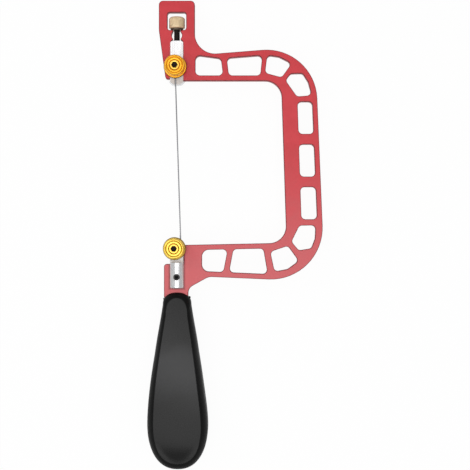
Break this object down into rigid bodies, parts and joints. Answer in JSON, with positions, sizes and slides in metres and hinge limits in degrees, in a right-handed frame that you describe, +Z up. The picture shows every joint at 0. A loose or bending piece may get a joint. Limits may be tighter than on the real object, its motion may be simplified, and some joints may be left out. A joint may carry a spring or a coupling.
{
  "type": "fret saw",
  "caption": "Hand fret saw: a truss plate frame on a moulded grip, with a thin toothed blade held by thumb clamps and drawn tight by a sliding bar and nut.",
  "frame": {"origin": "under the middle of the saw's outline, on the plane that the back of the handle rests on", "axes": "+X from the blade to the spine, +Y from the handle's butt to the head, +Z up through the plate, towards the clamp knobs, with the saw lying on its back"},
  "size_m": [0.113, 0.3, 0.026],
  "materials": {
    "red_plate": "satin red anodised",
    "black_grip": "satin",
    "bar_aluminium": "turned, bare",
    "black_steel": "black oxide",
    "nut_brass": "knurled",
    "washer_steel": "plain",
    "gold_aluminium": "gold anodised",
    "blade_steel": "hardened"
  },
  "bodies": {
    "frame": {"frame_plate": "red_plate", "handle": "black_grip", "lower_clamp_post": "bar_aluminium", "lower_lock_screw": "black_steel", "tension_washer": "washer_steel"},
    "tension_nut": {"tension_nut": "nut_brass"},
    "tension_slide": {"tension_slide": "bar_aluminium", "tension_screw": "black_steel", "blade": "blade_steel"},
    "upper_clamp_washer": {"upper_clamp_washer": "gold_aluminium"},
    "upper_clamp_knob": {"upper_clamp_knob": "gold_aluminium", "upper_clamp_screw": "gold_aluminium"},
    "lower_clamp_washer": {"lower_clamp_washer": "gold_aluminium"},
    "lower_clamp_knob": {"lower_clamp_knob": "gold_aluminium", "lower_clamp_screw": "gold_aluminium"}
  },
  "joints": [
    {"name": "nut_turn", "type": "hinge", "parent": "frame", "child": "tension_nut", "pos_m": [-0.03693, 0.136, 0.013], "axis": [0, 1, 0], "range_deg": [0, 2520]},
    {"name": "slide_travel", "type": "slide", "parent": "frame", "child": "tension_slide", "axis": [0, 1, 0], "range_m": [-0.0049, 0]},
    {"name": "upper_washer_lift", "type": "slide", "parent": "tension_slide", "child": "upper_clamp_washer", "axis": [0, 0, 1], "range_m": [0, 0.0014]},
    {"name": "upper_knob_turn", "type": "hinge", "parent": "upper_clamp_washer", "child": "upper_clamp_knob", "pos_m": [-0.03783, 0.10735, 0.021], "axis": [0, 0, 1], "range_deg": [0, 720]},
    {"name": "lower_washer_lift", "type": "slide", "parent": "frame", "child": "lower_clamp_washer", "axis": [0, 0, 1], "range_m": [0, 0.0014]},
    {"name": "lower_knob_turn", "type": "hinge", "parent": "lower_clamp_washer", "child": "lower_clamp_knob", "pos_m": [-0.03833, -0.0087, 0.021], "axis": [0, 0, 1], "range_deg": [0, 720]}
  ],
  "couplings": [
    {"joint": "nut_turn", "follows": "slide_travel", "rad_per_m": -8975.9},
    {"joint": "upper_knob_turn", "follows": "upper_washer_lift", "rad_per_m": 8975.9},
    {"joint": "lower_knob_turn", "follows": "lower_washer_lift", "rad_per_m": 8975.9}
  ]
}
